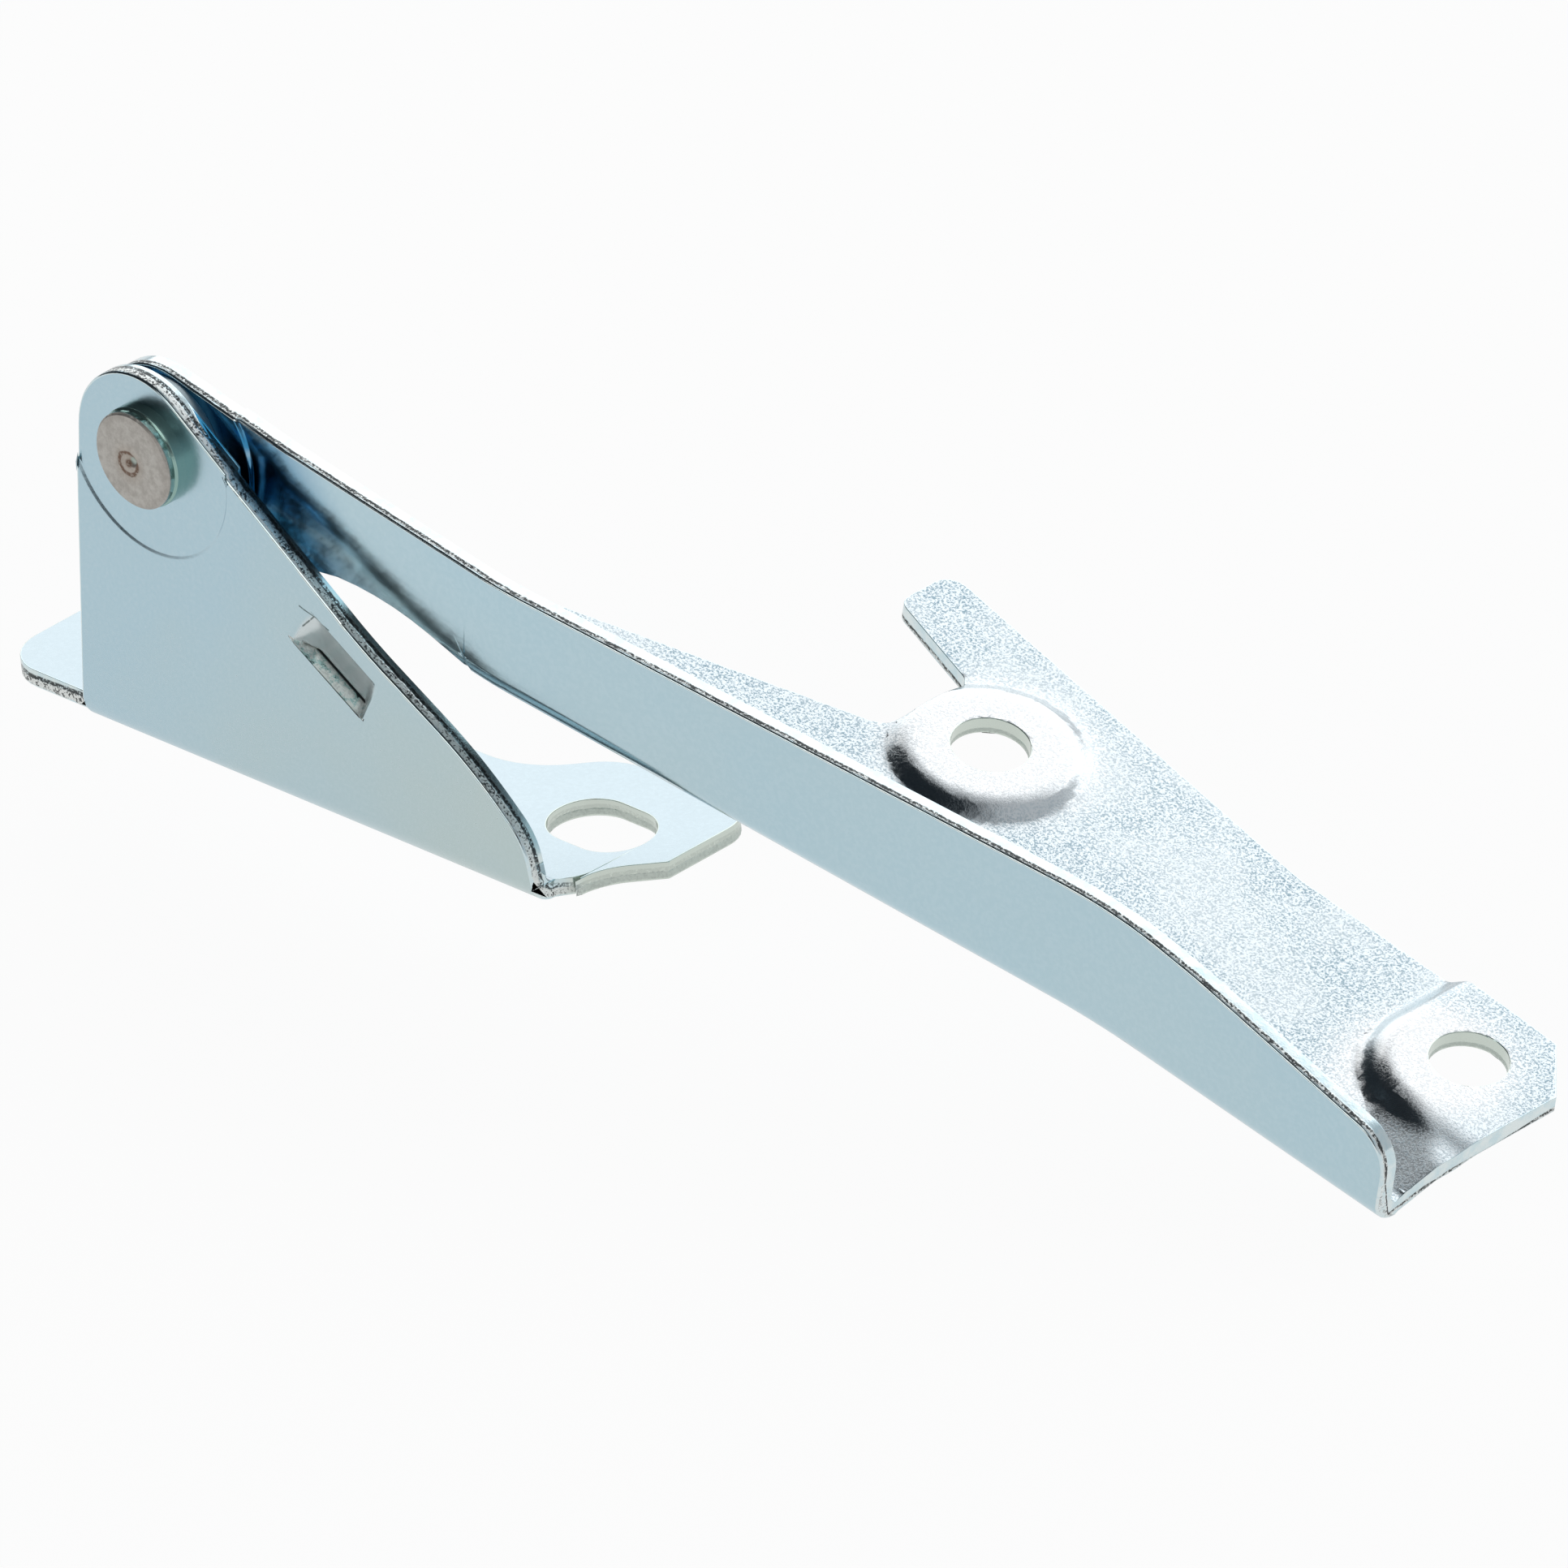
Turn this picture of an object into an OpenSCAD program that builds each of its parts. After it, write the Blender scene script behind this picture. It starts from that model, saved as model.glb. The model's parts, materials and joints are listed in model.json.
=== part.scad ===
// Car bonnet hinge: a folded body bracket, a folded bonnet arm and a rivet with a spacer washer.
// Frame: X along the length toward the bonnet end, Y from the outer face inward, Z up.
// The origin is the centre of the round bolt hole of the bracket, on the plane it bolts down to.
// Inside the modules X and Z are measured from the pivot axis and Y from the bracket web face.

/* [Sheet] */
// Thickness of both folded sheets, mm
sheet_t = 2.5; // [2:0.1:3]
// Radius on the inside of every fold, mm
fold_inner_r = 1.2; // [0.8:0.1:1.6]

/* [Pivot] */
// Height of the pivot axis over the foot plane, mm
pivot_h = 43.3; // [40:0.1:50]
// Radius of the round pad pressed into the bracket around the pivot, mm
pad_r = 13.7; // [12.5:0.1:15]
// How far the pivot pad is pressed back, mm
pad_depth = 0.7; // [0.4:0.1:1.2]
// Thickness of the washer between the two sheets, mm
washer_t = 1.1; // [0.8:0.1:2]
// Outer radius of the washer, mm
washer_r = 9.2; // [8:0.1:10]
// Radius of the rivet shank, mm
shank_r = 4; // [3.5:0.1:4.5]
// Radial play of the arm and washer on the shank, mm
shank_play = 0.05; // [0.02:0.01:0.1]
// Radius of the rivet head at its face, mm
head_r = 6.5; // [6:0.1:7.5]
// Height of the rivet head over the pressed pad, mm
head_h = 3.1; // [2:0.1:4]
// Radius of the formed end behind the arm, mm
tail_r = 6.2; // [5.5:0.1:7.5]
// Height of the formed end, mm
tail_h = 2.6; // [1.5:0.1:4]

/* [Body bracket] */
// Radius of the lobe at the top of the web, mm
bracket_lobe_r = 11; // [10:0.1:12]
// Where the web starts at the foot, mm from the pivot axis
web_left = -16.7; // [-20:0.1:-15]
// Where the web ends at the foot, mm from the pivot axis
web_right = 63.1; // [60:0.1:70]
// Width of the flange between its ears, mm
foot_w = 21.2; // [18:0.1:24]
// Reach of both ears from the web face, mm
ear_w = 30.5; // [28:0.1:34]
// End of the near ear, mm from the pivot axis
near_end = -34.4; // [-40:0.1:-34]
// End of the slotted ear, mm from the pivot axis
far_end = 71.3; // [71:0.1:78]
// Distance from the pivot axis to the slot centre, mm
slot_x = 58; // [57:0.1:60]
// Distance from the web face to both bolt hole centres, mm
bolt_y = 17; // [15:0.1:19]
// Length of the slot, mm
slot_len = 15; // [12:0.1:16]
// Width of the slot, mm
slot_w = 11; // [9:0.1:11.5]
// Distance from the pivot axis to the plain bolt hole, mm
near_hole_x = -22; // [-24:0.1:-20]
// Radius of the plain bolt hole, mm
near_hole_r = 5.25; // [4.5:0.05:6]

/* [Stop] */
// Middle of the sheared line of the stop, mm from the pivot axis
stop_x = 28.9; // [27:0.1:31]
// Depth of the stop middle under the pivot axis, mm
stop_drop = 22; // [21:0.1:24]
// Slope of the stop, degrees under level
stop_slope = 33; // [28:1:36]
// Length of the sheared line, mm
stop_len = 14.7; // [12:0.1:17]
// How far the stop is pressed through the web, mm
stop_depth = 3.1; // [2.6:0.1:3.4]
// Width of the stop from its sheared line to its upper crease, mm
stop_w = 6.8; // [5.5:0.1:7.5]

/* [Bonnet arm] */
// Angle by which the arm hangs below level at rest, degrees
rest_droop = 16.8; // [15:0.1:20]
// Radius of the arm lobe, mm
arm_lobe_r = 10.8; // [10:0.1:11.5]
// Distance from the pivot axis to the outer end of the arm, mm
arm_len = 191; // [190:0.1:200]
// Depth of the flange underside below the pivot axis, mm
arm_foot_drop = 5.2; // [5:0.1:6]
// Height of the highest point of the web over the pivot axis, mm
web_peak = 15.1; // [14:0.1:18]
// Where the web starts to splay, mm from the pivot axis
splay_start = 16; // [15:0.1:17]
// First gentle turn of the web away from the pivot plane, degrees
first_turn = 3.6; // [2:0.1:4.5]
// Where the second turn starts, mm from the pivot axis
second_start = 50; // [49:0.1:54]
// Second turn of the web, degrees
second_turn = 6.6; // [5:0.1:9]
// Radius of the second turn, mm
second_r = 60; // [50:1:80]
// Where the web turns back, mm from the pivot axis
back_start = 136; // [130:0.5:142]
// How far the web turns back near its outer end, degrees
back_turn = 6.8; // [5:0.1:8]
// Radius of the turn back, mm
back_r = 130; // [100:1:150]
// Distance from the web face at the pivot to the far edge of the flange, mm
arm_reach = 58.3; // [56:0.1:62]

/* [Bonnet bolt pads] */
// Radius of the bonnet bolt holes, mm
bonnet_hole_r = 5; // [4:0.05:5.75]
// Distance from the pivot axis to the inner hole, mm
inner_hole_x = 101.3; // [98:0.1:104]
// Distance from the arm face at the pivot to the inner hole, mm
inner_hole_y = 42.9; // [42:0.1:45]
// Distance between the two holes along the arm, mm
hole_gap = 78.2; // [76:0.1:79]
// How much farther out sideways the outer hole lies, mm
hole_shift = 5.6; // [4:0.1:7]
// Radius of the inner raised pad at the foot of its slope, mm
inner_pad_r = 13; // [12:0.1:14]
// Radius of the outer raised pad at the foot of its slope, mm
outer_pad_r = 14; // [12.5:0.1:14.5]
// Height of the inner raised pad, mm
inner_rise = 1.5; // [1:0.1:2.2]
// Height of the outer raised pad, mm
outer_rise = 2.4; // [1.5:0.1:2.4]

/* [Hidden] */
$fn = 96;
// The smallest overlap by which pieces of one sheet are joined
join = 0.01;
// A length that surely cuts through everything
through = 400;
fold_outer_r = fold_inner_r + sheet_t;
// Depths from the outer face of the bracket web
pad_back = pad_depth + sheet_t;
arm_face = pad_back + washer_t;
arm_back = arm_face + sheet_t;
// Levels in the arm frame, measured from the pivot axis
foot_under = -arm_foot_drop;
foot_top = foot_under + sheet_t;
outer_hole_x = inner_hole_x + hole_gap;
outer_hole_y = inner_hole_y + hole_shift;
// Length of the steep ends of the stop, and the opening under its sheared line
stop_rise = 2.2;
stop_gap = 0.15;
// Width of the slope around the raised pads, and how much smaller their hollows are
pad_slope = 2;
pad_shrink = 0.8;
// Length of flange that is swept along with the fold
stub = 3;
// Crest of the neck under the web, where the fold starts from nothing, mm from the pivot axis
neck_x = 38.5;
// Radius of the neck
neck_r = 40;
// Where the full fold starts, mm from the pivot axis
fold_start = 50.5;
// Distance of the highest point of the web from the pivot axis
peak_x = 149.6;
// Level of the line where the fold leaves the web, and of the neck just above it
fold_z = foot_under + fold_outer_r;
neck_z = fold_z + 0.04;
// Cut at the far outer corner of the flange
corner_cut = 7;
// Round boss around the pivot on the arm: height and radius
arm_boss = 0.4;
arm_boss_r = 13.9;
// Corners of the long sloping edge of the bracket web, measured from the pivot axis
slope_top = [36, -15.6];
slope_mid = [53.5, -26];
slope_low = [web_right - 0.8, -34.3];
// How far the bracket flange stands out past the end of the web
foot_step = 2.3;
// Half widths of the two ears at their root and at their tip
slot_ear_root = 18.5;
slot_ear_tip = 10;
hole_ear_root = 18;
hole_ear_tip = 9;
// Arm flange: the bay cut into its near edge, the step of the hook and its two ends
bay_x = 90.5;
bay_start = 21.8;
bay_end = 8.1;
hook_x = 74;
hook_low = 4.1;
hook_high = 4.8;
neck_run = 9.2;
neck_edge_y = 16.1;
// Arm flange: two gentle bends of its far edge, and how far the outer part stands out
bend_x = [141, 166];
bend_out = [-0.8, 0.5];
tip_out = 0.9;
// Top edge of the arm: rise up to its highest point, fall after it, and half width of the bend
top_rise = 0.0345;
top_fall = 0.217;
peak_round = 13;
// Half the turn of the neck under the arm, and the length of its squared lower edge
neck_half_turn = 8;
edge_rows = 0.6;
// Rivet: rim of the head, groove under it and dimple in its face
rim = 0.25;
groove = 0.15;
collar = 0.2;
dimple_r = 0.9;
dimple_h = 0.35;
// Both lobes sit a little off the pivot axis
bracket_lobe_at = [-1.7, -0.8];
arm_lobe_at = [-1, -1.2];
// Rounding of the web at its outer end, and steps of the fold in the drawn sheet
end_corner_r = 4.5;
fold_steps = 7;
// Play between the arm and the formed end of the rivet
tail_play = 0.05;
// Radius of the first turn
first_r = 50;
// Way of the outer web face in plan: a straight part ends and a turn starts at each of these
second_heading = first_turn + second_turn;
end_heading = second_heading - back_turn;
first_in = [splay_start, 0];
first_out = left_exit(first_in, 0, first_turn, first_r);
second_in = along_to(first_out, first_turn, second_start);
second_out = left_exit(second_in, first_turn, second_turn, second_r);
back_in = along_to(second_out, second_heading, back_start);
back_out = right_exit(back_in, second_heading, back_turn, back_r);
web_tip = along_to(back_out, end_heading, arm_len);

// The gentle slope beside the outer pad starts at the fold and touches the foot of the pad
ramp_from = [arm_len, web_tip[1] + fold_outer_r + 0.4];
to_hole = [outer_hole_x, outer_hole_y] - ramp_from;
ramp_turn = 180 - atan2(to_hole[1], to_hole[0]) - asin(outer_pad_r / norm(to_hole));
ramp_x = arm_len - cos(ramp_turn) * sqrt(to_hole * to_hole - outer_pad_r * outer_pad_r);
ramp_run = (to_hole[1] - outer_pad_r + pad_slope) * cos(ramp_turn);
ramp_tilt = atan(outer_rise / ramp_run);

// Moves the finished pieces from the pivot to the round bolt hole
module at_datum() {
    translate([-near_hole_x, -bolt_y, 0])
        children();
}

// Unit vector from one point to another
function toward(a, b) = (b - a) / norm(b - a);

// Points of an arc of radius r rounding the corner b between a and c, in n steps
function corner(a, b, c, r, n) =
    let(u = toward(b, a), v = toward(b, c), half = acos(u * v) / 2, reach = r / tan(half))
    let(mid = b + toward([0, 0], u + v) * r / sin(half))
    let(p = b + u * reach - mid, q = b + v * reach - mid)
    let(turn = (180 - 2 * half) * (p[0] * q[1] > p[1] * q[0] ? 1 : -1))
    [for (i = [0:n])
        let(s = turn * i / n)
        mid + [p[0] * cos(s) - p[1] * sin(s), p[0] * sin(s) + p[1] * cos(s)]];

// Outline from rows of x, y, corner radius; a radius of 0 keeps the corner sharp
function outline(rows) =
    let(k = len(rows))
    [for (i = [0:k - 1])
        let(a = rows[(i + k - 1) % k], b = rows[i], c = rows[(i + 1) % k])
        let(pa = [a[0], a[1]], pb = [b[0], b[1]], pc = [c[0], c[1]])
        each (b[2] == 0 ? [pb] : corner(pa, pb, pc, b[2], b[2] > 30 ? 12 : 8))];

// Touch point on a circle about the centre c of the line drawn to it from p; side is 1 or -1
function touch(c, r, p, side) =
    let(d = p - c, a = atan2(d[1], d[0]) + side * acos(r / norm(d)))
    c + r * [cos(a), sin(a)];

// Left-hand normal of a heading in plan
function left_of(h) = [-sin(h), cos(h)];

// Where a turn to the left or right ends that starts at p with heading h
function left_exit(p, h, turn, r) = p + r * left_of(h) - r * left_of(h + turn);
function right_exit(p, h, turn, r) = p - r * left_of(h) + r * left_of(h - turn);

// Point at the plan distance x on the line from p with heading h
function along_to(p, h, x) = p + (x - p[0]) * [1, tan(h)];

// Stands a flat outline in the XZ plane, growing toward +Y from y0
module upright(y0, t) {
    translate([0, y0 + t, 0])
        rotate([90, 0, 0])
            linear_extrude(height = t)
                children();
}

// A round bar along Y about the origin, from y0 to y1, with a radius at each end
module bar(y0, y1, r0, r1) {
    translate([0, y0, 0])
        rotate([-90, 0, 0])
            cylinder(h = y1 - y0, r1 = r0, r2 = r1);
}

// Web of the bracket seen square on, pivot at the origin
module bracket_web_outline() {
    left_foot = [web_left, fold_outer_r - pivot_h];
    left_touch = touch(bracket_lobe_at, bracket_lobe_r, left_foot, -1);
    right_touch = touch(bracket_lobe_at, bracket_lobe_r, slope_top, 1);
    translate(bracket_lobe_at)
        circle(r = bracket_lobe_r);
    polygon(outline([
        [left_foot[0], left_foot[1], 0],
        [web_right, fold_outer_r - pivot_h, 0],
        [slope_low[0], slope_low[1], 9],
        [slope_mid[0], slope_mid[1], 60],
        [slope_top[0], slope_top[1], 85],
        [right_touch[0], right_touch[1], 0],
        [left_touch[0], left_touch[1], 0]]));
}

// Slot with round ends, long along X, about the origin
module slot_outline() {
    straight = slot_len - slot_w;
    square([straight, slot_w], center = true);
    for (end = [-1, 1])
        translate([end * straight / 2, 0])
            circle(r = slot_w / 2);
}

// Flange of the bracket seen from above
module bracket_foot_outline() {
    difference() {
        polygon(outline([
            [web_right, fold_outer_r - join, 0],
            [web_right + foot_step, fold_outer_r + 3.2, 5],
            [web_right + foot_step, 9, 10],
            [far_end, 15.4, 0.8],
            [far_end, ear_w, 4.5],
            [slot_x - slot_ear_tip, ear_w, 9],
            [slot_x - slot_ear_root, foot_w, 14],
            [near_hole_x + hole_ear_root, foot_w, 10],
            [near_hole_x + hole_ear_tip, ear_w, 9],
            [near_end, ear_w, 6],
            [near_end, sheet_t, 6.5],
            [web_left, sheet_t, 0],
            [web_left, fold_outer_r - join, 0]]));
        translate([slot_x, bolt_y])
            slot_outline();
    }
}

// Quarter round fold along X, from its outer face at y = 0 down to z = 0
module bracket_fold() {
    translate([web_left, fold_outer_r, fold_outer_r])
        rotate([0, 90, 0])
            rotate([0, 0, -90])
                rotate_extrude(angle = 90)
                    translate([fold_inner_r, 0])
                        square([sheet_t, web_right - web_left]);
}

// Block under the pressed stop: depth along Y, the sheared line on X, the pressed side up.
// It starts at the depth y0.
module stop_block(y0, depth) {
    half = stop_len / 2;
    intersection() {
        // Seen from above the sheared line, steep at both ends
        translate([0, 0, -through / 2])
            linear_extrude(height = through)
                polygon(outline([
                    [-half, y0, 0],
                    [half, y0, 0],
                    [half - stop_rise, depth, 1.6],
                    [stop_rise - half, depth, 1.6]]));
        // Seen along the sheared line, sloping up to the crease
        translate([-through / 2, 0, 0])
            rotate([90, 0, 90])
                linear_extrude(height = through)
                    polygon(outline([
                        [y0, 0, 0],
                        [depth, 0, 0],
                        [depth, 0.35 * stop_w, 2],
                        [y0, stop_w, 0]]));
    }
}

// Places children with the sheared line along X and the open side below it
module at_stop() {
    translate([stop_x, 0, pivot_h - stop_drop])
        rotate([0, stop_slope, 0])
            children();
}

module body_bracket() {
    color([0.74, 0.79, 0.82])
    at_datum()
    difference() {
        union() {
            translate([0, 0, pivot_h])
                upright(0, sheet_t)
                    bracket_web_outline();
            // The pivot pad stands out behind the web
            translate([0, 0, pivot_h])
                intersection() {
                    upright(sheet_t - join, pad_depth + join)
                        bracket_web_outline();
                    bar(0, pad_back, pad_r + pad_back / 2, pad_r);
                }
            bracket_fold();
            linear_extrude(height = sheet_t)
                bracket_foot_outline();
            // The stop is a pocket pressed through behind the sheared line
            at_stop()
                stop_block(sheet_t - join, stop_depth + sheet_t);
        }
        // Front of the pressed pivot pad
        translate([0, 0, pivot_h])
            bar(-join, pad_depth, pad_r + 0.5, pad_r);
        // Hole for the rivet shank
        translate([0, 0, pivot_h])
            bar(-1, pad_back + 1, shank_r, shank_r);
        // Hollow of the stop, open below its sheared line
        at_stop()
            translate([0, 0, -stop_gap])
                stop_block(-join, stop_depth);
        translate([near_hole_x, bolt_y, -1])
            cylinder(h = sheet_t + 2, r = near_hole_r);
    }
}

// Heading of the web in plan at the distance x from the pivot axis
function heading(x) =
    x < first_in[0] ? 0 :
    x < first_out[0] ? asin((x - first_in[0]) / first_r) :
    x < second_in[0] ? first_turn :
    x < second_out[0] ? asin(sin(first_turn) + (x - second_in[0]) / second_r) :
    x < back_in[0] ? second_heading :
    x < back_out[0] ? asin(sin(second_heading) - (x - back_in[0]) / back_r) :
    end_heading;

// Where the outer face of the web stands in plan at the distance x
function face_y(x) = let(h = heading(x))
    x < first_in[0] ? 0 :
    x < first_out[0] ? first_r * (1 - cos(h)) :
    x < second_in[0] ? along_to(first_out, first_turn, x)[1] :
    x < second_out[0] ? second_in[1] + second_r * (cos(first_turn) - cos(h)) :
    x < back_in[0] ? along_to(second_out, second_heading, x)[1] :
    x < back_out[0] ? back_in[1] + back_r * (cos(h) - cos(second_heading)) :
    along_to(back_out, end_heading, x)[1];

// A line that stays at 0 before x0 and rises by 1 in 1 after it, rounded over w on both sides
function knee(x, x0, w) = x < x0 - w ? 0 : x > x0 + w ? x - x0 : pow(x - x0 + w, 2) / (4 * w);

// Top edge of the web at the distance x
function top_z(x) =
    let(over = max(0, x - arm_len + end_corner_r))
    web_peak + top_rise * (x - peak_x) - top_fall * knee(x, peak_x, peak_round)
    - end_corner_r + sqrt(max(0, end_corner_r * end_corner_r - over * over));

// Free lower edge of the web between the lobe and the full fold
function neck_edge(x) =
    let(corner_x = neck_x - neck_r * tan(neck_half_turn), away = [corner_x, neck_z] - arm_lobe_at)
    let(lean = asin(arm_lobe_r / norm(away)) + atan2(away[1], away[0]))
    let(over = x - neck_x)
    over < -neck_r * sin(lean) ? neck_z + (x - corner_x) * tan(lean) :
    neck_z - neck_r + sqrt(neck_r * neck_r - over * over);

// Outline of the sheet cut at the distance x, as [depth, height], starting at the top outside
function ring(x) =
    let(full = x >= fold_start, edge = neck_edge(x), plain = !full && edge >= fold_z)
    let(turn = full ? 90 : asin(min(1, max(0, (fold_z - edge) / fold_outer_r))))
    let(out_r = fold_outer_r, in_r = fold_inner_r, n = fold_steps)
    let(outer = [for (i = [0:n])
        plain || x <= neck_x ? [0, edge + edge_rows * (n - i) / n] :
        [out_r - out_r * cos(turn * i / n), fold_z - out_r * sin(turn * i / n)]])
    let(inner = [for (i = [n:-1:0])
        plain || x <= neck_x ? [sheet_t, edge + edge_rows * (n - i) / n] :
        [out_r - in_r * cos(turn * i / n), fold_z - in_r * sin(turn * i / n)]])
    let(lip = full ? [[out_r + stub, foot_under], [out_r + stub, foot_top]] :
        [for (k = [1, 2]) outer[n] + (inner[0] - outer[n]) * k / 3 - [0, 0.08]])
    concat([[0, top_z(x)]], outer, lip, inner, [[sheet_t, top_z(x)]]);

// Distances at which the folded sheet is cut
ring_x = concat(
    [for (i = [0:3]) first_in[0] + (first_out[0] - first_in[0]) * i / 3],
    [for (x = [20:3:fold_start - 3]) x],
    [neck_x, fold_start - 1.6, fold_start - 0.5, fold_start],
    [for (i = [0:8]) second_in[0] + (second_out[0] - second_in[0]) * i / 8],
    [for (i = [1:9]) second_out[0] + (back_in[0] - second_out[0]) * i / 10],
    [for (i = [0:8]) back_in[0] + (back_out[0] - back_in[0]) * i / 8],
    [for (i = [1:5]) back_out[0] + (arm_len - end_corner_r - back_out[0]) * i / 5],
    [for (i = [1:6]) arm_len - end_corner_r * (1 - sin(15 * i))]);

// Web, fold and the start of the flange, from the lobe to the outer end
module folded_web() {
    cuts = [for (x = ordered(ring_x)) [x, ring(x)]];
    k = len(cuts[0][1]);
    last = (len(cuts) - 1) * k;
    points = [for (c = cuts) for (q = c[1]) [c[0], face_y(c[0]) + q[0] / cos(heading(c[0])), q[1]]];
    sides = [for (j = [0:len(cuts) - 2]) for (i = [0:k - 1])
        let(m = (i + 1) % k)
        [j * k + i, (j + 1) * k + i, (j + 1) * k + m, j * k + m]];
    halves = [for (f = sides) each [[f[0], f[1], f[2]], [f[0], f[2], f[3]]]];
    near_end = [for (i = [0:k / 2 - 2]) each [[i, i + 1, k - 2 - i], [i, k - 2 - i, k - 1 - i]]];
    outer_end = [for (f = near_end) [last + f[2], last + f[1], last + f[0]]];
    polyhedron(points, concat(halves, near_end, outer_end), convexity = 8);
}

// Numbers put in rising order
function ordered(v) = len(v) < 2 ? v :
    let(mid = v[floor(len(v) / 2)])
    concat(ordered([for (x = v) if (x < mid) x]), [mid], ordered([for (x = v) if (x > mid) x]));

// Lobe of the arm seen square on, up to where the web starts to splay
module lobe_outline() {
    top_touch = touch(arm_lobe_at, arm_lobe_r, [splay_start, top_z(splay_start)], 1);
    low_touch = touch(arm_lobe_at, arm_lobe_r, [splay_start, neck_edge(splay_start)], -1);
    translate(arm_lobe_at)
        circle(r = arm_lobe_r);
    polygon([
        top_touch,
        [splay_start, top_z(splay_start)],
        [splay_start, neck_edge(splay_start)],
        low_touch,
        arm_lobe_at]);
}

// Flange of the arm seen from above; y is depth from the arm face at the pivot
module arm_foot_outline() {
    inset = fold_outer_r + stub / 2;
    start_y = second_in[1] + inset;
    polygon(outline([
        [fold_start + 0.5, start_y + 0.2, 0],
        [fold_start - 6.5, start_y + 0.2, 2.5],
        [fold_start - neck_run, neck_edge_y, 3],
        [bay_x, arm_reach - bay_start, 5],
        [bay_x, arm_reach - bay_end, 2.5],
        [hook_x, arm_reach - hook_low, 2],
        [hook_x, arm_reach + hook_high, 2.8],
        [bend_x[0], arm_reach + bend_out[0], 40],
        [bend_x[1], arm_reach + bend_out[1], 30],
        [arm_len - corner_cut, arm_reach + tip_out, 0],
        [arm_len, arm_reach + tip_out - corner_cut, 0],
        [arm_len, web_tip[1] + inset, 0],
        [back_out[0], back_out[1] + inset, 0],
        [back_in[0], back_in[1] + inset, 0],
        [second_out[0], second_out[1] + inset, 0]]));
}

// Solid that rises from the flange around the inner hole; shrink keeps the sheet even below
module inner_raise(z0, shrink) {
    translate([inner_hole_x, inner_hole_y, z0])
        cylinder(h = inner_rise, r1 = inner_pad_r - shrink, r2 = inner_pad_r - pad_slope - shrink);
}

// The same around the outer hole, where the raised part runs out to both edges
module outer_raise(z0, shrink) {
    foot = outer_pad_r - shrink;
    slope_rows = [[-foot, 0], [pad_slope - foot, outer_rise], [through, outer_rise], [through, 0]];
    translate([outer_hole_x, outer_hole_y, z0]) {
        cylinder(h = outer_rise, r1 = foot, r2 = foot - pad_slope);
        // Straight slope toward the outer end
        rotate([90, 0, 90])
            linear_extrude(height = through)
                polygon(slope_rows);
        // Straight slope toward the far edge
        rotate([90, 0, 180])
            linear_extrude(height = through)
                mirror([1, 0])
                    polygon(slope_rows);
    }
}

// Gentle slope from the fold up to the outer pad, growing toward the outer end
module outer_ramp(z0) {
    intersection() {
        translate([ramp_from[0], ramp_from[1], z0])
            rotate([0, 0, -ramp_turn])
                rotate([ramp_tilt, 0, 0])
                    translate([-60, 0, -20])
                        cube([120, 40, 20]);
        translate([ramp_x, 0, z0])
            cube([through, outer_hole_y, outer_rise]);
    }
}

// The arm in its own frame: pivot axis through the origin, face at the pivot at y = 0
module level_arm() {
    difference() {
        union() {
            upright(0, sheet_t)
                lobe_outline();
            folded_web();
            // Round boss that meets the washer
            intersection() {
                upright(-arm_boss, arm_boss + join)
                    lobe_outline();
                bar(-arm_boss, 1, arm_boss_r, arm_boss_r + 1);
            }
            translate([0, 0, foot_under])
                linear_extrude(height = sheet_t)
                    arm_foot_outline();
            intersection() {
                translate([0, 0, foot_under])
                    linear_extrude(height = 2 * sheet_t + outer_rise)
                        arm_foot_outline();
                union() {
                    inner_raise(foot_top - join, 0);
                    outer_raise(foot_top - join, 0);
                    outer_ramp(foot_top - join);
                }
            }
        }
        // Hollows under the raised pads
        inner_raise(foot_under - join, pad_shrink);
        outer_raise(foot_under - join, pad_shrink);
        outer_ramp(foot_under - join);
        // Hollow behind the round boss
        bar(sheet_t - arm_boss, sheet_t + 1, arm_boss_r - 0.4, arm_boss_r - 0.4);
        bar(-2, sheet_t + 2, shank_r + shank_play, shank_r + shank_play);
        translate([inner_hole_x, inner_hole_y, foot_under - 1])
            cylinder(h = 2 * sheet_t + outer_rise, r = bonnet_hole_r);
        translate([outer_hole_x, outer_hole_y, foot_under - 1])
            cylinder(h = 2 * sheet_t + outer_rise, r = bonnet_hole_r);
    }
}

module bonnet_arm() {
    color([0.78, 0.84, 0.88])
    at_datum()
    translate([0, arm_face + arm_boss, pivot_h])
        rotate([0, rest_droop, 0])
            level_arm();
}

// Half profile of the rivet; x is radius, y is depth from the outer face of the bracket web
module rivet_profile() {
    face = pad_depth - head_h;
    tail = arm_back + tail_play;
    polygon([
        [0, face + dimple_h],
        [dimple_r / 2, face + dimple_h],
        [dimple_r, face],
        [head_r - rim, face],
        [head_r, face + rim],
        [head_r, face + 4 * rim],
        [head_r - groove, face + 4 * rim + groove],
        [head_r + collar, face + 5 * rim + groove],
        [head_r + collar, pad_depth],
        [shank_r, pad_depth],
        [shank_r, tail],
        [tail_r, tail],
        [tail_r, tail + 0.55 * tail_h],
        [tail_r - 0.5, tail + 0.85 * tail_h],
        [tail_r - 1.4, tail + tail_h],
        [0, tail + tail_h]]);
}

module pivot_rivet() {
    color([0.72, 0.7, 0.67])
    at_datum()
    translate([0, 0, pivot_h])
        rotate([-90, 0, 0])
            rotate_extrude()
                rivet_profile();
}

module spacer_washer() {
    color([0.6, 0.63, 0.66])
    at_datum()
    translate([0, 0, pivot_h])
        difference() {
            bar(pad_back, arm_face, washer_r, washer_r);
            bar(pad_back - 1, arm_face + 1, shank_r + shank_play, shank_r + shank_play);
        }
}

body_bracket();
bonnet_arm();
pivot_rivet();
spacer_washer();
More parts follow.
